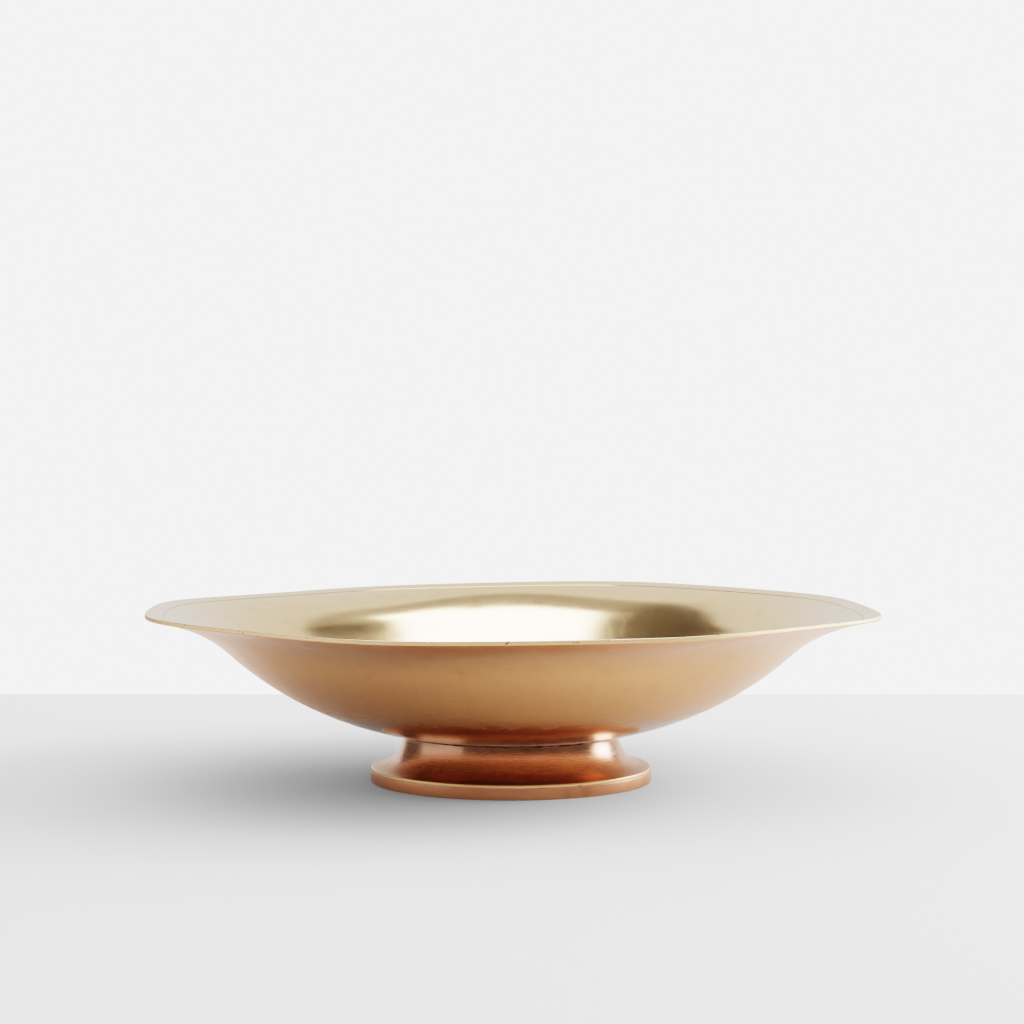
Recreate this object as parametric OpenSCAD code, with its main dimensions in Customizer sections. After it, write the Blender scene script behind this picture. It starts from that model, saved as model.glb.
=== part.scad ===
// A footed metal bowl: a spun bowl with a wide, softly eight-sided lip, soldered to a hollow flared foot
// that stands on a flat band. Millimetres, +Z up. The origin is the middle of the face that it stands on.

/* [Bowl] */
// Width of the lip across two opposite soft sides
lip_across = 295; // [260:1:380]
// Radius at which the well ends and the lip begins
well_r = 115.5; // [90:0.5:125]
// Radius of the level middle of the bowl
base_r = 22; // [10:1:30]
// Steepest slope of the wall, where the well turns into the lip
wall_slope = 42.4; // [34:0.1:50]
// Slope of the lip at its edge
edge_slope = 9; // [2:1:15]
// Thickness of the bowl's sheet
wall = 1.65; // [1.2:0.05:2.4]
// Radius of the rounded arris above and below the lip's edge
edge_round = 0.45; // [0.2:0.05:0.5]

/* [Lip outline] */
// Number of soft sides
lip_sides = 8; // [6:1:12]
// Turn of the first soft side away from +X
lip_turn = 3; // [-22:1:22]
// Crispness of the soft corners
corner_crispness = 14; // [8:1:30]
// How far the edge rises and falls once, twice and three times round
lip_waves = [0.35, 0.4, 0.7]; // [0:0.05:1.5]
// Direction of a crest of each of those waves
wave_turns = [-10, 45, 73]; // [-180:1:180]

/* [Engraved line] */
// Distance of the line from the lip's edge
line_inset = 6.9; // [4:0.1:12]
// Width of the line
line_w = 0.5; // [0.3:0.1:1.2]
// Depth of the line
line_depth = 0.15; // [0.05:0.05:0.4]

/* [Foot] */
// Height of the neck's upper edge, where the bowl sits
foot_h = 19.1; // [14:0.1:40]
// Outer radius of the neck
neck_r = 44; // [36:0.5:50]
// How far round its quarter of an ellipse the hollow curve starts, which leans the neck outwards
neck_start = 8; // [0:0.5:15]
// Thickness of the flare's sheet
flare_wall = 1; // [0.8:0.1:1.6]
// Radius of the flare's rounded edge
flare_round = 0.5; // [0.2:0.05:0.6]

/* [Band] */
// Outer radius of the band that the bowl stands on
band_r = 57.4; // [54:0.1:75]
// Height of the band
band_h = 4.6; // [3:0.1:8]
// Thickness of the band's ring
band_w = 3.5; // [2:0.1:6]
// Radius of the band's rounded arrises
band_round = 0.35; // [0.1:0.05:0.6]
// How far the flare's edge stays inside the band's face
flare_inset = 0.2; // [0:0.05:1]

/* [Solder] */
// Thickness of the solder between the neck and the bowl
neck_film = 0.1; // [0.05:0.05:0.3]
// Size of the solder fillet outside and inside the neck
neck_fillet = 0.4; // [0.3:0.1:0.8]
// Thickness of the solder between the flare's edge and the band
band_film = 0.3; // [0.1:0.05:0.5]
// Size of the solder fillet inside the band
band_fillet = 1.2; // [0.5:0.1:2]

/* [Hidden] */

around = 96;             // points round the bowl
round_fn = 120;          // points round the foot
well_steps = 9;          // steps along the well's arc
seat_steps = 3;          // steps along the same arc inside the neck
lip_steps = 8;           // steps along the lip's arc
arris_steps = 3;         // steps round an arris
cove_steps = 18;         // steps along the foot's hollow curve

bowl_copper = [0.80, 0.55, 0.36];
flare_copper = [0.72, 0.42, 0.29];
band_copper = [0.74, 0.45, 0.33];
solder_grey = [0.42, 0.38, 0.35];

function sum_of(list, i = 0) = i == len(list) ? 0 : list[i] + sum_of(list, i + 1);
function reversed(list) = [for (i = [len(list) - 1:-1:0]) list[i]];

// A point on an arc, and the points that go round a quarter of one from its first angle.
function on_arc(centre, r, angle) = centre + r * [cos(angle), sin(angle)];
function arris(centre, r, first) = [for (i = [0:arris_steps]) on_arc(centre, r, first + 90 * i / arris_steps)];

// ---- The bowl's profile as [radius, height]. The well's arc curves up from the level base, and the lip's
// arc, which takes over at the steepest slope, curves back over to the edge.
lip_r = lip_across / 2;
well_arc = (well_r - base_r) / sin(wall_slope);
lip_arc = (lip_r - well_r) / (sin(wall_slope) - sin(edge_slope));
function well_drop(r) = well_arc - sqrt(pow(well_arc, 2) - pow(max(0, r - base_r), 2));

base_z = foot_h + neck_film - well_drop(neck_r);
function underside(r) = base_z + well_drop(r);
well_centre = [base_r, base_z + well_arc];
lip_centre = [lip_r + lip_arc * sin(edge_slope), well_centre[1] - (well_arc + lip_arc) * cos(wall_slope)];

// The neck's solder takes this much of the underside, which is straight there.
neck_in_r = neck_r - flare_wall;
seat_in_r = neck_in_r - neck_fillet;
seat_out_r = neck_r + neck_fillet;
function well_slope(r) = asin((r - base_r) / well_arc);

// Points of the surface `up` above the underside, between two slopes.
function well_points(up, from, to, steps) =
    [for (i = [0:steps]) on_arc(well_centre, well_arc - up, from + (to - from) * i / steps - 90)];
function lip_points(up, from, to) =
    [for (i = [1:lip_steps - 1]) on_arc(lip_centre, lip_arc + up, 90 + from + (to - from) * i / lip_steps)];

// The edge is cut square to the lip, with an arris above and below.
edge_foot = on_arc(lip_centre, lip_arc, 90 + edge_slope);
function from_edge(in, up) =
    edge_foot + [-in * cos(edge_slope) - up * sin(edge_slope), up * cos(edge_slope) - in * sin(edge_slope)];
edge = concat(arris(from_edge(edge_round, edge_round), edge_round, edge_slope - 90),
              arris(from_edge(edge_round, wall - edge_round), edge_round, edge_slope));

// The engraved line is a notch in the upper surface.
function lip_turned(length) = length / (lip_arc + wall) * 180 / PI;
line_slope = edge_slope + lip_turned(line_inset);
line_side = lip_turned(line_w / 2);
function lip_top(slope, down) = on_arc(lip_centre, lip_arc + wall - down, 90 + slope);
line = [lip_top(line_slope - line_side, 0), lip_top(line_slope, line_depth), lip_top(line_slope + line_side, 0)];

bowl_profile = concat(well_points(0, 0, well_slope(seat_in_r), seat_steps),
                      well_points(0, well_slope(seat_out_r), wall_slope, well_steps),
                      lip_points(0, wall_slope, edge_slope),
                      edge,
                      line,
                      lip_points(wall, line_slope + line_side, wall_slope),
                      well_points(wall, wall_slope, 0, well_steps));

// ---- The lip's outline. Each soft side draws the edge in to its own distance, and the corners between
// the sides stay out. The well takes none of this, and the edge takes all of it.
function side_reach(angle, side) = max(0, cos(angle - lip_turn - side * 360 / lip_sides));
function outline(angle) =
    pow(sum_of([for (s = [0:lip_sides - 1]) pow(side_reach(angle, s), corner_crispness)]), -1 / corner_crispness);
function lip_wave(angle) =
    sum_of([for (i = [0:len(lip_waves) - 1]) lip_waves[i] * cos((i + 1) * (angle - wave_turns[i]))]);
function lip_share(r) = let (t = min(1, max(0, (r - well_r) / (lip_r - well_r)))) t * t * (3 - 2 * t);

// Where a point of the profile lies at an angle round the bowl.
function placed(p, angle) =
    let (share = lip_share(p[0]), r = p[0] * (1 + share * (outline(angle) - 1)))
    [r * cos(angle), r * sin(angle), p[1] + share * lip_wave(angle)];

// ---- The bowl: its profile carried round the outline, and closed by the level base above and below.
module bowl() {
    count = len(bowl_profile);
    points = [for (a = [0:around - 1]) for (p = bowl_profile) placed(p, a * 360 / around)];
    function at(a, p) = (a % around) * count + p;
    skin = [for (a = [0:around - 1]) for (p = [0:count - 2])
            for (corner = [1, 2])
                corner == 1 ? [at(a, p), at(a, p + 1), at(a + 1, p + 1)]
                            : [at(a, p), at(a + 1, p + 1), at(a + 1, p)]];
    under = [for (a = [0:around - 1]) at(a, 0)];
    over = [for (a = [0:around - 1]) at(a, count - 1)];
    color(bowl_copper)
        polyhedron(points, concat(skin, [under, reversed(over)]));
}

// ---- The foot's flare: a spun shell on a hollow curve, which is part of a quarter of an ellipse. It starts
// almost upright at the neck and ends level at the band.
flare_edge_r = band_r - flare_inset;
flare_foot_z = band_h + band_film;
flare_top_z = flare_foot_z + flare_wall;
level_r = flare_edge_r - flare_round;
cove_across = (level_r - neck_r) / cos(neck_start);
cove_down = (foot_h - flare_top_z) / (1 - sin(neck_start));
cove_centre = [level_r, flare_top_z + cove_down];
function cove_point(out, angle) =
    cove_centre - [(cove_across + out) * cos(angle), (cove_down + out) * sin(angle)];
function cove(out, first = 0) =
    [for (i = [first:cove_steps]) cove_point(out, neck_start + (90 - neck_start) * i / cove_steps)];

// The sheet's inner surface starts where the sheet's upper edge meets the solder.
neck_in_z = underside(neck_in_r) - neck_film;
inner_cove = concat([[neck_in_r, neck_in_z]], cove(flare_wall, 1));

module foot_flare() {
    rolled_edge = arris([level_r, flare_top_z - flare_round], flare_round, 0);
    color(flare_copper)
        rotate_extrude($fn = round_fn)
            polygon(concat(inner_cove,
                           [[flare_edge_r, flare_foot_z]],
                           [for (i = [0:arris_steps - 1]) rolled_edge[i]],
                           reversed(cove(0))));
}

// ---- The band: a flat ring with rounded arrises, which the bowl stands on.
module foot_band() {
    in_r = band_r - band_w;
    round_r = band_r - band_round;
    color(band_copper)
        rotate_extrude($fn = round_fn)
            polygon(concat([[in_r, 0]],
                           arris([round_r, band_round], band_round, -90),
                           arris([round_r, band_h - band_round], band_round, 0),
                           [[in_r, band_h]]));
}

// ---- The solder at the neck: a film between the sheet's edge and the bowl, with a fillet on each side.
function radius_at(wall_points, z) = lookup(z, [for (p = wall_points) [p[1], p[0]]]);

module neck_solder() {
    out_z = foot_h - neck_fillet;
    in_z = neck_in_z - neck_fillet;
    color(solder_grey)
        rotate_extrude($fn = round_fn)
            polygon([[seat_in_r, underside(seat_in_r)], [seat_out_r, underside(seat_out_r)],
                     [radius_at(cove(0), out_z), out_z], [neck_r, foot_h],
                     [neck_in_r, neck_in_z], [radius_at(inner_cove, in_z), in_z]]);
}

// ---- The solder at the band: it fills the wedge under the flare's edge, with a fillet inside the band.
module band_solder() {
    in_r = band_r - band_w;
    fillet_r = in_r - band_fillet;
    color(solder_grey)
        rotate_extrude($fn = round_fn)
            polygon(concat([[fillet_r, lookup(fillet_r, inner_cove)]],
                           [for (p = inner_cove) if (p[0] > fillet_r) p],
                           [[flare_edge_r, flare_foot_z], [flare_edge_r, band_h],
                            [in_r, band_h], [in_r, band_h - band_fillet]]));
}

bowl();
foot_flare();
foot_band();
neck_solder();
band_solder();
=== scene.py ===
"""A footed bowl of gilding metal and copper: a spun bowl with a soft eight-sided lip, on a flared foot."""
import math

import bpy
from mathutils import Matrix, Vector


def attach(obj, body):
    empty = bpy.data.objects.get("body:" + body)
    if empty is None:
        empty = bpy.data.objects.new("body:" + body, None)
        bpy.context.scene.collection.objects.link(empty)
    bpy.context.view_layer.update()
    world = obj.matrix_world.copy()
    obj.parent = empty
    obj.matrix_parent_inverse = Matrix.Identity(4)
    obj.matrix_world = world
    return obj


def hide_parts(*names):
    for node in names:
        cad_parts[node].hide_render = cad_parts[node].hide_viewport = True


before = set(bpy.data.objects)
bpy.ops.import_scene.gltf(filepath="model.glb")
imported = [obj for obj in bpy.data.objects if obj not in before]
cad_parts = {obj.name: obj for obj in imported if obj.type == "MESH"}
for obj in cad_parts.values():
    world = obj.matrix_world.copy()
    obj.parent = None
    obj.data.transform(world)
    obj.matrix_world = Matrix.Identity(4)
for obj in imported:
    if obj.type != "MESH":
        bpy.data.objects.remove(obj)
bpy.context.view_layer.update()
MM = 0.001

# ---- The band. A flat ring of copper strip, bent round, brazed and turned true. The whole bowl stands on
# it. Its outer face was turned on a lathe, so fine marks run round it. Its upper arris is painted paler,
# partly real wear and partly a painted highlight.
BAND_R = 57.4 * MM
BAND_H = 4.6 * MM
BAND_W = 3.5 * MM
BAND_ARRIS = 0.35 * MM
BAND_COPPER = (0.68, 0.30, 0.17)
BAND_STAIN = (0.50, 0.19, 0.10)
BAND_WORN_AND_HIGHLIGHT = (0.90, 0.58, 0.35)
ROUND_STEPS = 320
ARRIS_STEPS = 6
MERGE_DISTANCE = 0.002 * MM
SMOOTH_ANGLE = math.radians(28)


def arc(centre, radius, first, last, steps):
    """Points along an arc of a section, with its angles in degrees from +R towards +Z."""
    points = []
    for i in range(steps + 1):
        angle = math.radians(first + (last - first) * i / steps)
        points.append((centre[0] + radius * math.cos(angle), centre[1] + radius * math.sin(angle)))
    return points


def turned(name, section, steps=ROUND_STEPS, closed=True):
    """A turned piece: its section is drawn point by point from a single corner, then spun round Z."""
    bpy.ops.object.select_all(action="DESELECT")
    bpy.ops.mesh.primitive_plane_add(size=MM, location=(0, 0, 0))
    piece = bpy.context.object
    piece.name = name
    bpy.ops.object.mode_set(mode="EDIT")
    bpy.ops.mesh.select_all(action="SELECT")
    bpy.ops.mesh.merge(type="CENTER")
    bpy.ops.transform.translate(value=(section[0][0], 0, section[0][1]))
    corners = section + section[:1] if closed else section
    for (r0, z0), (r1, z1) in zip(corners, corners[1:]):
        bpy.ops.mesh.extrude_region_move(TRANSFORM_OT_translate={"value": (r1 - r0, 0, z1 - z0)})
    bpy.ops.mesh.select_all(action="SELECT")
    bpy.ops.mesh.spin(steps=steps, angle=math.tau, center=(0, 0, 0), axis=(0, 0, 1))
    bpy.ops.mesh.select_all(action="SELECT")
    bpy.ops.mesh.remove_doubles(threshold=MERGE_DISTANCE)
    bpy.ops.mesh.normals_make_consistent(inside=False)
    bpy.ops.object.mode_set(mode="OBJECT")
    bpy.ops.object.shade_smooth_by_angle(angle=SMOOTH_ANGLE)
    return piece


class Finish:
    """A metal's node tree, with short calls for the patterns that every finish here is mixed from."""

    def __init__(self, name, roughness):
        self.material = bpy.data.materials.new(name)
        self.material.use_nodes = True
        self.tree = self.material.node_tree
        self.shader = self.tree.nodes["Principled BSDF"]
        self.shader.inputs["Metallic"].default_value = 1.0
        self.shader.inputs["Roughness"].default_value = roughness
        self.place = self.node("ShaderNodeTexCoord").outputs["Object"]
        apart = self.node("ShaderNodeSeparateXYZ", Vector=self.place)
        self.x, self.y, self.z = apart.outputs
        flat = self.node("ShaderNodeCombineXYZ", X=self.x, Y=self.y)
        length = self.node("ShaderNodeVectorMath", Vector=flat.outputs[0])
        length.operation = "LENGTH"
        self.radius = length.outputs["Value"]

    def feed(self, socket, given):
        """A socket takes its value from another socket, or is set to a number, a place or a colour."""
        if isinstance(given, bpy.types.NodeSocket):
            self.tree.links.new(given, socket)
        elif socket.type == "RGBA":
            socket.default_value = (*given, 1)
        else:
            socket.default_value = given

    def node(self, kind, **inputs):
        """A new node of this kind with its sockets fed by name."""
        made = self.tree.nodes.new(kind)
        for key, given in inputs.items():
            self.feed(made.inputs[key], given)
        return made

    def maths(self, operation, a, b=0.0, c=0.0):
        """One step of arithmetic on sockets or numbers."""
        made = self.tree.nodes.new("ShaderNodeMath")
        made.operation = operation
        for socket, given in zip(made.inputs, (a, b, c)):
            self.feed(socket, given)
        return made.outputs[0]

    def clouds(self, size, detail, seed=0.0):
        """Soft blotches of about this size in metres, from 0 to 1."""
        moved = self.node("ShaderNodeMapping", Vector=self.place, Location=(seed, seed, seed))
        noise = self.node("ShaderNodeTexNoise", Vector=moved.outputs[0], Scale=1 / size, Detail=detail)
        return noise.outputs[0]

    def rings(self, pitch, seed):
        """Fine marks that run round the piece, as a cutting or polishing tool leaves them."""
        along = self.maths("MULTIPLY_ADD", self.radius, 1 / pitch, seed)
        up = self.maths("MULTIPLY", self.z, 1 / pitch)
        drift = self.maths("MULTIPLY", self.clouds(60 * MM, 1.0, seed=seed), 0.6)
        noise = self.tree.nodes.new("ShaderNodeTexNoise")
        noise.noise_dimensions = "2D"
        spot = self.node("ShaderNodeCombineXYZ", X=self.maths("ADD", along, drift), Y=up)
        self.feed(noise.inputs["Vector"], spot.outputs[0])
        self.feed(noise.inputs["Scale"], 1.0)
        self.feed(noise.inputs["Detail"], 3.0)
        return noise.outputs[0]

    def between(self, value, low, high, out_low=0.0, out_high=1.0):
        """Value carried from one range to another, clamped, with soft ends."""
        made = self.node("ShaderNodeMapRange", Value=value)
        made.interpolation_type = "SMOOTHSTEP"
        self.feed(made.inputs["From Min"], low)
        self.feed(made.inputs["From Max"], high)
        self.feed(made.inputs["To Min"], out_low)
        self.feed(made.inputs["To Max"], out_high)
        return made.outputs[0]

    def mix(self, share, first, second):
        """One colour laid over another by a share from 0 to 1. The node's colours are sockets 6 and 7."""
        made = self.tree.nodes.new("ShaderNodeMix")
        made.data_type = "RGBA"
        for number, given in ((0, share), (6, first), (7, second)):
            self.feed(made.inputs[number], given)
        return made.outputs[2]

    def scratches(self, apart, width, turn, seed):
        """Scattered hairline scratches, the edges of long thin cells: 1 in a scratch and 0 outside it."""
        turned_place = self.node("ShaderNodeMapping", Vector=self.place, Rotation=(0, 0, math.radians(turn)),
                                 Scale=(1, 0.03, 1), Location=(seed, 0, 0))
        cells = self.tree.nodes.new("ShaderNodeTexVoronoi")
        cells.feature = "DISTANCE_TO_EDGE"
        self.feed(cells.inputs["Vector"], turned_place.outputs[0])
        self.feed(cells.inputs["Scale"], 1 / apart)
        line = self.between(cells.outputs["Distance"], 0.0, width / apart, 1.0, 0.0)
        here_and_there = self.between(self.clouds(14 * MM, 2.0, seed=seed + 5), 0.52, 0.62)
        return self.maths("MULTIPLY", line, here_and_there)

    def bump(self, height, depth, after=None):
        """Relief of this depth in metres, laid over any relief already there."""
        made = self.node("ShaderNodeBump", Height=height, Strength=1.0, Distance=depth)
        if after is not None:
            self.feed(made.inputs["Normal"], after)
        return made.outputs["Normal"]

    def finish(self, colour, roughness, normal):
        """The finished material, once its colour, roughness and relief reach the shader."""
        for key, given in (("Base Color", colour), ("Roughness", roughness), ("Normal", normal)):
            self.feed(self.shader.inputs[key], given)
        return self.material


CLOUD_SIZE = 9 * MM
PIT_SIZE = 1.2 * MM
PIT_DEPTH = 0.003 * MM
PIT_TONE = 0.45
RING_PITCH = 0.35 * MM
SCRATCH_APART = 7 * MM
SCRATCH_W = 0.025 * MM
SCRATCH_TURN = 25
SCRATCH_DEPTH = 0.004 * MM


def turned_metal(name, bright, stain, roughness, stain_from, stain_to, ring_depth, ring_tone, seed):
    """Metal turned or polished on a lathe: rings, cloudy tarnish, pits and a few scratches."""
    metal = Finish(name, roughness)
    cloud = metal.clouds(CLOUD_SIZE, 5.0, seed=seed)
    fine = metal.clouds(PIT_SIZE, 3.0, seed=seed + 2)
    rings = metal.rings(RING_PITCH, seed)
    blotch = metal.between(cloud, stain_from, stain_to)
    pits = metal.between(fine, 0.70, 0.80)
    scratch = metal.scratches(SCRATCH_APART, SCRATCH_W, SCRATCH_TURN, seed)
    colour = metal.mix(blotch, bright, stain)
    pit_colour = tuple(c * PIT_TONE for c in stain)
    colour = metal.mix(metal.maths("MULTIPLY", pits, PIT_TONE), colour, pit_colour)
    colour = metal.mix(metal.maths("MULTIPLY", rings, ring_tone), colour, stain)
    rough = metal.maths("MULTIPLY_ADD", cloud, 0.10, roughness - 0.05)
    rough = metal.maths("MULTIPLY_ADD", rings, ring_tone * 0.5, rough)
    rough = metal.maths("MULTIPLY_ADD", pits, 0.15, rough)
    relief = metal.bump(rings, ring_depth)
    relief = metal.bump(fine, PIT_DEPTH, relief)
    relief = metal.bump(metal.maths("SUBTRACT", 1.0, scratch), SCRATCH_DEPTH, relief)
    return metal, colour, rough, relief


band_section = [(BAND_R - BAND_W, 0)]
band_section += arc((BAND_R - BAND_ARRIS, BAND_ARRIS), BAND_ARRIS, -90, 0, ARRIS_STEPS)
band_section += arc((BAND_R - BAND_ARRIS, BAND_H - BAND_ARRIS), BAND_ARRIS, 0, 90, ARRIS_STEPS)
band_section += [(BAND_R - BAND_W, BAND_H)]
band = turned("band", band_section)

band_metal, band_colour, band_rough, band_relief = turned_metal(
    "band_copper", BAND_COPPER, BAND_STAIN, roughness=0.33, stain_from=0.52, stain_to=0.95,
    ring_depth=0.006 * MM, ring_tone=0.2, seed=3.0)
# Painted highlight and wear: the upper arris is painted a paler copper.
wear_and_painted_highlight = band_metal.between(band_metal.z, BAND_H - 0.5 * MM, BAND_H - 0.2 * MM, out_high=0.5)
band_colour = band_metal.mix(wear_and_painted_highlight, band_colour, BAND_WORN_AND_HIGHLIGHT)
band.data.materials.append(band_metal.finish(band_colour, band_rough, band_relief))
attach(band, "root")
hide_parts("foot_band")

# ---- The flare. A thin copper shell spun over a former. It is almost upright under the bowl, then sweeps
# out in a hollow curve to the band. Its rounded edge is painted bright, partly real wear and partly a
# painted highlight, and its hollow is painted darker as painted shade.
FOOT_H = 19.1 * MM
NECK_R = 44 * MM
NECK_START = math.radians(8)
FLARE_WALL = 1 * MM
FLARE_ROUND = 0.5 * MM
FLARE_R = 57.2 * MM
FLARE_FOOT_Z = 4.9 * MM
FLARE_COPPER = (0.78, 0.43, 0.29)
FLARE_STAIN = (0.52, 0.27, 0.17)
FLARE_SEAM_SHADE = (0.13, 0.07, 0.05)
HOLLOW_PAINTED_SHADE = (0.44, 0.30, 0.21)
WORN_EDGE_AND_HIGHLIGHT = (0.96, 0.64, 0.34)
COVE_STEPS = 44
FLARE_ROUND_STEPS = 8
NECK_FILM = 0.1 * MM
BASE_R = 22 * MM
WELL_R = 115.5 * MM
WALL_SLOPE = math.radians(42.4)
WELL_ARC = (WELL_R - BASE_R) / math.sin(WALL_SLOPE)


def well_rise(r):
    """How far the bowl's underside stands above its level middle at a radius."""
    return WELL_ARC - math.sqrt(WELL_ARC ** 2 - max(0, r - BASE_R) ** 2)


BASE_Z = FOOT_H + NECK_FILM - well_rise(NECK_R)
LEVEL_R = FLARE_R - FLARE_ROUND
FLARE_TOP_Z = FLARE_FOOT_Z + FLARE_WALL
COVE_ACROSS = (LEVEL_R - NECK_R) / math.cos(NECK_START)
COVE_DOWN = (FOOT_H - FLARE_TOP_Z) / (1 - math.sin(NECK_START))


def cove(out):
    """The hollow curve, or the curve that lies this far outside it: part of a quarter of an ellipse."""
    turns = [NECK_START + (math.pi / 2 - NECK_START) * i / COVE_STEPS for i in range(COVE_STEPS + 1)]
    centre_z = FLARE_TOP_Z + COVE_DOWN
    return [(LEVEL_R - (COVE_ACROSS + out) * math.cos(turn), centre_z - (COVE_DOWN + out) * math.sin(turn))
            for turn in turns]


neck_in = NECK_R - FLARE_WALL
neck_in_z = BASE_Z + well_rise(neck_in) - NECK_FILM
inner_cove = [(neck_in, neck_in_z)] + cove(FLARE_WALL)[1:]
flare_section = inner_cove + [(FLARE_R, FLARE_FOOT_Z)]
flare_section += arc((LEVEL_R, FLARE_TOP_Z - FLARE_ROUND), FLARE_ROUND, 0, 90, FLARE_ROUND_STEPS)[:-1]
flare_section += cove(0)[::-1]
flare = turned("flare", flare_section)

flare_metal, flare_colour, flare_rough, flare_relief = turned_metal(
    "flare_copper", FLARE_COPPER, FLARE_STAIN, roughness=0.12, stain_from=0.50, stain_to=0.85,
    ring_depth=0.008 * MM, ring_tone=0.45, seed=11.0)
# Painted shade under the bowl: a thin, almost black line just below the seat, and dark patches down to 5 mm
# below it.
patchy = flare_metal.between(flare_metal.clouds(14 * MM, 2.0), 0.30, 0.65, out_low=0.4)
by_seam = flare_metal.between(flare_metal.z, FOOT_H - 1.0 * MM, FOOT_H - 0.4 * MM, out_high=0.5)
below_seam = flare_metal.between(flare_metal.z, FOOT_H - 5 * MM, FOOT_H, out_high=0.65)
below_seam = flare_metal.maths("MULTIPLY", below_seam, patchy)
painted_seam_shade = flare_metal.maths("MAXIMUM", by_seam, below_seam)
flare_colour = flare_metal.mix(painted_seam_shade, flare_colour, FLARE_SEAM_SHADE)
# Painted shade: the hollow is painted darker and browner, and made a little rougher.
hollow = flare_metal.between(flare_metal.z, 6 * MM, 11 * MM, 1.0, 0.0)
flare_colour = flare_metal.mix(flare_metal.maths("MULTIPLY", hollow, 0.45), flare_colour, HOLLOW_PAINTED_SHADE)
flare_rough = flare_metal.maths("MULTIPLY_ADD", hollow, 0.12, flare_rough)
# Painted highlight and wear: the rounded edge is painted a pale, bright copper.
wear_and_painted_highlight = flare_metal.between(flare_metal.radius, FLARE_R - 0.75 * MM, FLARE_R - 0.5 * MM, out_high=0.95)
flare_colour = flare_metal.mix(wear_and_painted_highlight, flare_colour, WORN_EDGE_AND_HIGHLIGHT)
flare.data.materials.append(flare_metal.finish(flare_colour, flare_rough, flare_relief))
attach(flare, "root")
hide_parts("foot_flare")

# ---- The band's solder. Soft solder run between the flare's edge and the band: outside, a hairline that
# is dark where the solder stopped short; inside, a fillet left as it flowed.
BAND_FILLET = 1.2 * MM
SOLDER_COPPERED = (0.74, 0.44, 0.27)
SOLDER_GREY = (0.27, 0.21, 0.17)
SOLDER_DARK = (0.10, 0.07, 0.055)


def along(curve, r):
    """The height of a curve's polyline at a radius."""
    for (r0, z0), (r1, z1) in zip(curve, curve[1:]):
        if r0 <= r <= r1:
            return z0 + (z1 - z0) * (r - r0) / (r1 - r0)


def solder_metal(name, seed, bright, dirt_from):
    """Aged soft solder: dull, and almost black where soot and polish have stayed in it."""
    metal = Finish(name, 0.4)
    lumps = metal.clouds(1.6 * MM, 4.0, seed=seed)
    dirt = metal.between(metal.clouds(5 * MM, 5.0, seed=seed + 4), dirt_from, dirt_from + 0.12)
    colour = metal.mix(dirt, bright, SOLDER_DARK)
    rough = metal.maths("MULTIPLY_ADD", dirt, 0.25, 0.35)
    return metal.finish(colour, rough, metal.bump(lumps, 0.05 * MM))


inner_r = BAND_R - BAND_W
fillet_r = inner_r - BAND_FILLET
solder_section = [(fillet_r, along(inner_cove, fillet_r))]
solder_section += [p for p in inner_cove if p[0] > fillet_r]
solder_section += [(FLARE_R, FLARE_FOOT_Z), (FLARE_R, BAND_H)]
solder_section += [(inner_r, BAND_H), (inner_r, BAND_H - BAND_FILLET)]
band_solder = turned("band_solder_line", solder_section)
band_solder.data.materials.append(solder_metal("band_solder_grey", 2.0, SOLDER_COPPERED, dirt_from=0.62))
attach(band_solder, "root")
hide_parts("band_solder")

# ---- The neck's solder. The bowl sits on the flare's upper edge in a thin film of solder, with a small
# fillet outside and inside. It has tarnished to a dark line round the neck.
NECK_FILLET = 0.4 * MM
seat_in = neck_in - NECK_FILLET
seat_out = NECK_R + NECK_FILLET
out_z = FOOT_H - NECK_FILLET
in_z = neck_in_z - NECK_FILLET
wall_out = along([(z, r) for r, z in cove(0)[::-1]], out_z)
wall_in = along([(z, r) for r, z in inner_cove[::-1]], in_z)
neck_solder = turned("neck_solder_line", [
    (seat_in, BASE_Z + well_rise(seat_in)), (seat_out, BASE_Z + well_rise(seat_out)),
    (wall_out, out_z), (NECK_R, FOOT_H), (neck_in, neck_in_z), (wall_in, in_z)])
neck_solder.data.materials.append(solder_metal("neck_solder_grey", 7.0, SOLDER_GREY, dirt_from=0.47))
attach(neck_solder, "root")
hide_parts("neck_solder")

# ---- The bowl. One disc of gilding metal spun over a former, then its lip drawn in to eight soft sides.
# It is polished to a satin. One metal is painted in two copies: paler and yellower on the faces that look
# up, as painted light, and darker and more coppery on the faces that look down, as painted shade.
LIP_R = 147.5 * MM
EDGE_SLOPE = math.radians(9)
WALL = 1.65 * MM
EDGE_ROUND = 0.45 * MM
LINE_INSET = 6.9 * MM
LINE_W = 0.5 * MM
LINE_DEPTH = 0.15 * MM
SIDES = 8
LIP_TURN = math.radians(3)
CORNER_CRISPNESS = 14
LIP_WAVES = ((0.35 * MM, -10), (0.4 * MM, 45), (0.7 * MM, 73))
WELL_STEPS = 44
LIP_STEPS = 26
BOWL_STEPS = 512
RIM_STEPS = 5
UPPER_FACE = 0.15
# A lit copy and a shaded copy of one metal: the inside's tones are painted paler and yellower, the outside's
# darker and more coppery.
INSIDE_BRIGHT_LIT = (0.83, 0.60, 0.34)
INSIDE_STAIN = (0.74, 0.47, 0.24)
OUTSIDE_BRIGHT_SHADED = (0.81, 0.385, 0.175)
OUTSIDE_STAIN = (0.72, 0.31, 0.12)
OUTSIDE_ORANGE = (0.73, 0.30, 0.10)
OUTSIDE_NECK = (0.60, 0.29, 0.15)
OUTSIDE_DARK_BY_FOOT = (0.42, 0.25, 0.15)
EDGE_WORN_AND_HIGHLIGHT = (0.94, 0.70, 0.43)
LINE_SHADE_AND_NICK_DARK = (0.30, 0.14, 0.07)

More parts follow.
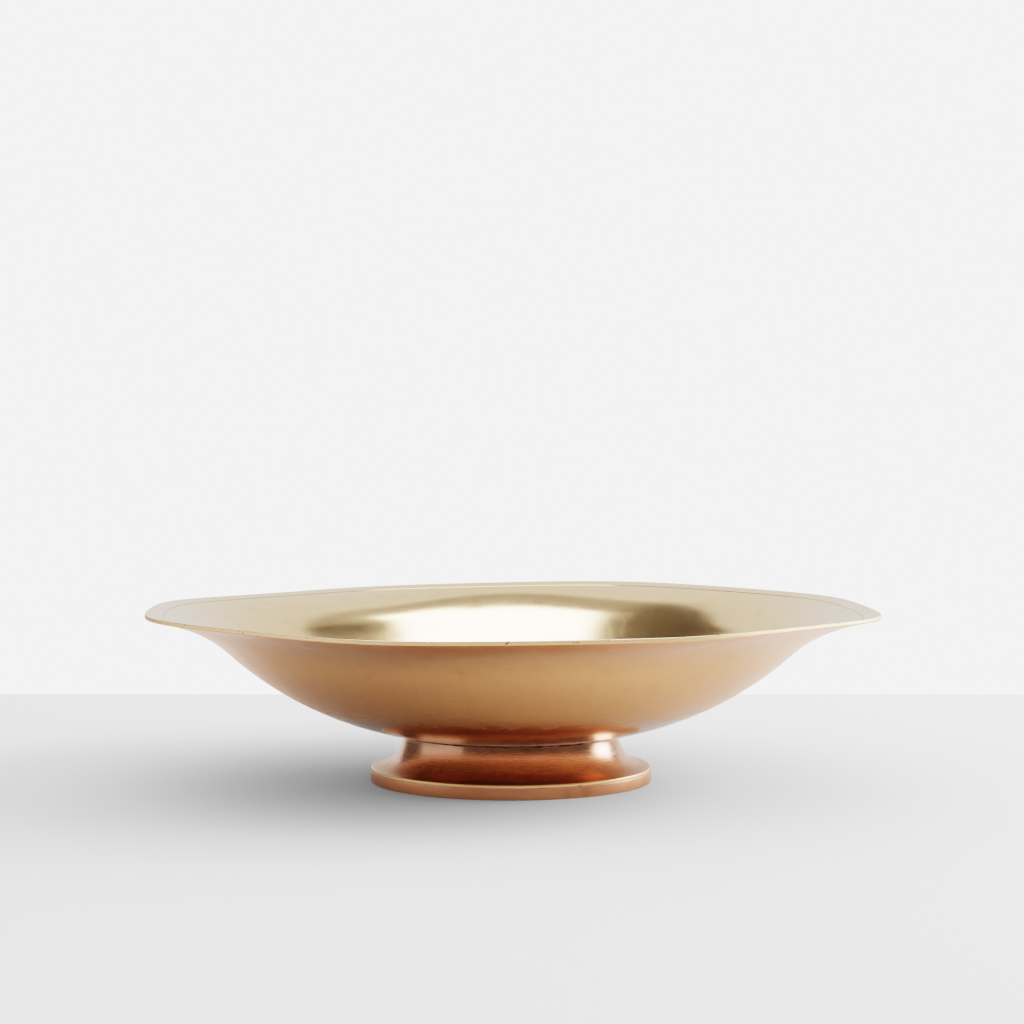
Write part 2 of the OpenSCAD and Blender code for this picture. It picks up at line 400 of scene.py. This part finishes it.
LIP_ARC = (LIP_R - WELL_R) / (math.sin(WALL_SLOPE) - math.sin(EDGE_SLOPE))
well_centre = (BASE_R, BASE_Z + WELL_ARC)
lip_centre_z = well_centre[1] - (WELL_ARC + LIP_ARC) * math.cos(WALL_SLOPE)
lip_centre = (LIP_R + LIP_ARC * math.sin(EDGE_SLOPE), lip_centre_z)


def well(up, first, last, steps):
    """The well's arc at a height above the underside, between two slopes."""
    return arc(well_centre, WELL_ARC - up, math.degrees(first) - 90, math.degrees(last) - 90, steps)


def lip(up, first, last, steps):
    """The lip's arc at a height above the underside, without its ends."""
    return arc(lip_centre, LIP_ARC + up, 90 + math.degrees(first), 90 + math.degrees(last), steps)[1:-1]


def from_edge(inwards, up):
    """A point of the lip's square-cut edge, measured in from its lower corner."""
    foot_r, foot_z = arc(lip_centre, LIP_ARC, 90 + math.degrees(EDGE_SLOPE), 0, 1)[0]
    level, rise = math.cos(EDGE_SLOPE), math.sin(EDGE_SLOPE)
    return foot_r - inwards * level - up * rise, foot_z + up * level - inwards * rise


def on_top(slope, down):
    """A point of the lip where it has this slope, at a depth below its upper surface."""
    return arc(lip_centre, LIP_ARC + WALL - down, 90 + math.degrees(slope), 0, 1)[0]


edge_deg = math.degrees(EDGE_SLOPE)
line_slope = EDGE_SLOPE + LINE_INSET / (LIP_ARC + WALL)
line_side = LINE_W / 2 / (LIP_ARC + WALL)
bowl_section = [(0, BASE_Z)]
bowl_section += well(0, 0, WALL_SLOPE, WELL_STEPS)
bowl_section += lip(0, WALL_SLOPE, EDGE_SLOPE, LIP_STEPS)
lower_arris = from_edge(EDGE_ROUND, EDGE_ROUND)
bowl_section += arc(lower_arris, EDGE_ROUND, edge_deg - 90, edge_deg, ARRIS_STEPS)
upper_arris = from_edge(EDGE_ROUND, WALL - EDGE_ROUND)
bowl_section += arc(upper_arris, EDGE_ROUND, edge_deg, edge_deg + 90, ARRIS_STEPS)
bowl_section += lip(WALL, EDGE_SLOPE, line_slope - line_side, RIM_STEPS)
bowl_section += [on_top(line_slope - line_side, 0), on_top(line_slope, LINE_DEPTH)]
bowl_section += [on_top(line_slope + line_side, 0)]
bowl_section += lip(WALL, line_slope + line_side, WALL_SLOPE, LIP_STEPS)
bowl_section += well(WALL, WALL_SLOPE, 0, WELL_STEPS)
bowl_section += [(0, BASE_Z + WALL)]
bowl = turned("bowl_sheet", bowl_section, BOWL_STEPS, closed=False)

# The lip is drawn in point by point, because no operator gives the soft eight-sided outline.
# Each point first keeps how far in from the edge it was turned, which the finish reads.
inset = bowl.data.attributes.new("inset", "FLOAT", "POINT")
for point in bowl.data.vertices:
    x, y, z = point.co
    r = math.hypot(x, y)
    inset.data[point.index].value = LIP_R - r
    out = min(1, max(0, (r - WELL_R) / (LIP_R - WELL_R)))
    if out == 0:
        continue
    share = out * out * (3 - 2 * out)
    angle = math.atan2(y, x)
    reach = [max(0, math.cos(angle - LIP_TURN - side * math.tau / SIDES)) for side in range(SIDES)]
    outline = sum(near ** CORNER_CRISPNESS for near in reach) ** (-1 / CORNER_CRISPNESS)
    drawn = 1 + share * (outline - 1)
    wave = sum(height * math.cos(times * (angle - math.radians(crest)))
               for times, (height, crest) in enumerate(LIP_WAVES, 1))
    point.co = (x * drawn, y * drawn, z + share * wave)

bowl_inside, inside_colour, inside_rough, inside_relief = turned_metal(
    "bowl_inside", INSIDE_BRIGHT_LIT, INSIDE_STAIN, roughness=0.14, stain_from=0.50, stain_to=0.95,
    ring_depth=0.0012 * MM, ring_tone=0.1, seed=21.0)
kept_inset = bowl_inside.node("ShaderNodeAttribute")
kept_inset.attribute_name = "inset"
how_far_in = kept_inset.outputs["Fac"]
# Painted shade in the incised line: the groove is painted dark across its width. The same dark tone marks
# the rim's nicks.
line_r_in = LIP_R - on_top(line_slope, 0)[0]
from_line = bowl_inside.maths("SUBTRACT", how_far_in, line_r_in)
from_line = bowl_inside.maths("ABSOLUTE", from_line)
painted_line_shade = bowl_inside.between(from_line, LINE_W * 0.35, LINE_W * 0.6, 0.85, 0.0)
inside_colour = bowl_inside.mix(painted_line_shade, inside_colour, LINE_SHADE_AND_NICK_DARK)
# Painted highlight and wear: the rim's edge is painted paler and made rougher.
on_edge = bowl_inside.between(how_far_in, 0.6 * MM, 1.1 * MM, 1.0, 0.0)
inside_colour = bowl_inside.mix(on_edge, inside_colour, EDGE_WORN_AND_HIGHLIGHT)
inside_rough = bowl_inside.maths("MULTIPLY_ADD", on_edge, 0.38, inside_rough)
nick = bowl_inside.between(bowl_inside.clouds(1.6 * MM, 3.0, seed=9.0), 0.66, 0.72)
nick = bowl_inside.maths("MULTIPLY", nick, on_edge)
inside_colour = bowl_inside.mix(nick, inside_colour, LINE_SHADE_AND_NICK_DARK)
inside_relief = bowl_inside.bump(bowl_inside.maths("SUBTRACT", 1.0, nick), 0.12 * MM, inside_relief)
bowl.data.materials.append(bowl_inside.finish(inside_colour, inside_rough, inside_relief))

bowl_outside, outside_colour, outside_rough, outside_relief = turned_metal(
    "bowl_outside", OUTSIDE_BRIGHT_SHADED, OUTSIDE_STAIN, roughness=0.27, stain_from=0.50, stain_to=0.95,
    ring_depth=0.0015 * MM, ring_tone=0.1, seed=31.0)
# Towards the foot the outside is painted more orange, then darker and browner.
low_down = bowl_outside.between(bowl_outside.radius, 90 * MM, 118 * MM, 0.85, 0.0)
outside_colour = bowl_outside.mix(low_down, outside_colour, OUTSIDE_ORANGE)
by_foot = bowl_outside.between(bowl_outside.radius, 68 * MM, 90 * MM, 0.85, 0.0)
outside_colour = bowl_outside.mix(by_foot, outside_colour, OUTSIDE_DARK_BY_FOOT)
by_neck = bowl_outside.between(bowl_outside.radius, 58 * MM, 72 * MM, 0.8, 0.0)
outside_colour = bowl_outside.mix(by_neck, outside_colour, OUTSIDE_NECK)
outside_rough = bowl_outside.maths("MULTIPLY_ADD", by_foot, -0.12, outside_rough)
bowl.data.materials.append(bowl_outside.finish(outside_colour, outside_rough, outside_relief))
# Painted light and shade: faces that look up take the lit copy, faces that look down the shaded copy.
for face in bowl.data.polygons:
    face.material_index = 0 if face.normal.z > UPPER_FACE else 1
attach(bowl, "root")
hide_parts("bowl")

# ---- The studio: a pale table, and behind it the white sweep of a backdrop. The sweep is only looked at.
# What the metal mirrors, and what lights the table, comes from the soft boxes and cards round it.
TABLE_GREY = (0.64, 0.64, 0.64)
TABLE_FRONT = -4
TABLE_BACK = 0.308
SWEEP_GLOW = 2.55
SWEEP_Y = 2.4
SWEEP_R = 0.7
SWEEP_TOP = 4
SWEEP_STEPS = 24
STAGE_WIDTH = 8


def drawn_sheet(name, side_view):
    """A sheet whose side view is drawn point by point, then pulled out sideways."""
    bpy.ops.object.select_all(action="DESELECT")
    bpy.ops.mesh.primitive_plane_add(size=1, location=(0, 0, 0))
    sheet = bpy.context.object
    sheet.name = name
    bpy.ops.object.mode_set(mode="EDIT")
    bpy.ops.mesh.select_all(action="SELECT")
    bpy.ops.mesh.merge(type="CENTER")
    bpy.ops.transform.translate(value=(-STAGE_WIDTH / 2, side_view[0][0], side_view[0][1]))
    for (y0, z0), (y1, z1) in zip(side_view, side_view[1:]):
        bpy.ops.mesh.extrude_region_move(TRANSFORM_OT_translate={"value": (0, y1 - y0, z1 - z0)})
    bpy.ops.mesh.select_all(action="SELECT")
    bpy.ops.mesh.extrude_region_move(TRANSFORM_OT_translate={"value": (STAGE_WIDTH, 0, 0)})
    bpy.ops.object.mode_set(mode="OBJECT")
    bpy.ops.object.shade_smooth_by_angle(angle=SMOOTH_ANGLE)
    return sheet


def glowing(name, strength):
    """A paint that only glows, evenly."""
    paint = bpy.data.materials.new(name)
    paint.use_nodes = True
    tree = paint.node_tree
    glow = tree.nodes.new("ShaderNodeEmission")
    glow.inputs["Strength"].default_value = strength
    tree.links.new(glow.outputs[0], tree.nodes["Material Output"].inputs["Surface"])
    return paint


table = drawn_sheet("table", [(TABLE_FRONT, 0), (TABLE_BACK, 0)])
table_paint = bpy.data.materials.new("table_paint")
table_paint.use_nodes = True
matt = table_paint.node_tree.nodes["Principled BSDF"]
matt.inputs["Base Color"].default_value = (*TABLE_GREY, 1)
matt.inputs["Roughness"].default_value = 0.9
matt.inputs["Specular IOR Level"].default_value = 0.1
table.data.materials.append(table_paint)

sweep_curve = arc((SWEEP_Y - SWEEP_R, SWEEP_R), SWEEP_R, -90, 0, SWEEP_STEPS)
sweep = drawn_sheet("backdrop_sweep", [(TABLE_BACK, 0), *sweep_curve, (SWEEP_Y, SWEEP_TOP)])
sweep.data.materials.append(glowing("backdrop_white", SWEEP_GLOW))
sweep.visible_glossy = False
sweep.visible_diffuse = False
sweep.visible_shadow = False

AIM = Vector((0, 0, 0.05))


def soft_box(name, place, size, glow, lights_table=True, mirrored=True):
    """A rectangular soft light of an even glow that faces the bowl. The camera doesn't see it."""
    lamp = bpy.data.lights.new(name, "AREA")
    lamp.shape = "RECTANGLE"
    lamp.size, lamp.size_y = size
    lamp.energy = math.pi * size[0] * size[1] * glow
    box = bpy.data.objects.new(name, lamp)
    bpy.context.collection.objects.link(box)
    box.location = place
    forward = AIM - Vector(place)
    box.rotation_euler = forward.to_track_quat("-Z", "Y").to_euler()
    box.visible_camera = False
    box.visible_diffuse = lights_table
    box.visible_glossy = mirrored
    return box


OVERHEAD_GLOW = 9
overhead = soft_box("overhead_box", (0.02, 0.165, 1.2), (0.62, 0.60), OVERHEAD_GLOW, lights_table=False)
overhead.rotation_euler = (0, 0, math.radians(-17))
beside = soft_box("overhead_box_beside", (0.225, 0.21, 1.2), (0.23, 0.80), OVERHEAD_GLOW, lights_table=False)
beside.rotation_euler = (0, 0, 0)
soft_box("upper_card", (0.2, 0.95, 1.45), (1.0, 0.5), 0.3, lights_table=False)
soft_box("right_window", (1.85, 0.74, 0.75), (0.8, 1.3), 13)
soft_box("right_fill", (1.35, -0.05, 0.75), (1.1, 1.0), 9, mirrored=False)
soft_box("left_card", (-2.2, -0.4, 0.7), (2.4, 1.3), 0.8)
soft_box("front_card", (0.3, -2.0, 1.75), (4.0, 1.1), 0.9, lights_table=False)
wall = soft_box("back_wall", (1.0, 2.4, 0.85), (5.2, 4.1), 0.88)
wall.rotation_euler = (math.radians(-90), 0, 0)

# A dark flag keeps the window's edge crisp where the metal mirrors it.
FLAG_PLACE = (1.33, 1.22, 0.45)
FLAG_SIZE = (0.45, 0.8, 1)
FLAG_TURN = math.radians(-47.5)
FLAG_GLOW = 0.25
bpy.ops.object.select_all(action="DESELECT")
bpy.ops.mesh.primitive_plane_add(size=1, location=(0, 0, 0))
flag = bpy.context.object
flag.name = "window_flag"
bpy.ops.object.mode_set(mode="EDIT")
bpy.ops.mesh.select_all(action="SELECT")
bpy.ops.mesh.subdivide(number_cuts=1)
bpy.ops.object.mode_set(mode="OBJECT")
flag.location = FLAG_PLACE
flag.scale = FLAG_SIZE
flag.rotation_euler = (math.radians(90), 0, FLAG_TURN)
flag.data.materials.append(glowing("flag_black", FLAG_GLOW))
flag.visible_camera = False
flag.visible_diffuse = False
flag.visible_shadow = False

# The room is pale to look at and soft on the table, and dim where the metal mirrors it.
ROOM_SEEN = 2.3
ROOM_ON_TABLE = 1.85
ROOM_MIRRORED = (0.13, 0.115, 0.10)

world = bpy.data.worlds.new("studio_room")
bpy.context.scene.world = world
world.use_nodes = True
world.cycles.sampling_method = "NONE"
tree = world.node_tree
dim = tree.nodes["Background"]
dim.inputs["Color"].default_value = (*ROOM_MIRRORED, 1)
soft = tree.nodes.new("ShaderNodeBackground")
soft.inputs["Strength"].default_value = ROOM_ON_TABLE
pale = tree.nodes.new("ShaderNodeBackground")
pale.inputs["Strength"].default_value = ROOM_SEEN
ray = tree.nodes.new("ShaderNodeLightPath")
by_diffuse = tree.nodes.new("ShaderNodeMixShader")
by_camera = tree.nodes.new("ShaderNodeMixShader")
for start, end in (
        (ray.outputs["Is Diffuse Ray"], by_diffuse.inputs[0]),
        (dim.outputs[0], by_diffuse.inputs[1]),
        (soft.outputs[0], by_diffuse.inputs[2]),
        (ray.outputs["Is Camera Ray"], by_camera.inputs[0]),
        (by_diffuse.outputs[0], by_camera.inputs[1]),
        (pale.outputs[0], by_camera.inputs[2]),
        (by_camera.outputs[0], tree.nodes["World Output"].inputs["Surface"])):
    tree.links.new(start, end)

# ---- The camera, low in front of the bowl on a long lens.
CAMERA_PLACE = (0.0004, -1.026, 0.1511)
CAMERA_TILT = math.radians(87.69)
LENS = 88.3
SENSOR_WIDTH = 36

bpy.ops.object.camera_add(location=CAMERA_PLACE, rotation=(CAMERA_TILT, 0, 0))
camera = bpy.context.object
camera.data.lens = LENS
camera.data.sensor_width = SENSOR_WIDTH
bpy.context.scene.camera = camera
bpy.context.scene.view_settings.view_transform = "Filmic"
bpy.context.scene.view_settings.look = "High Contrast"
bpy.context.scene.cycles.caustics_reflective = False
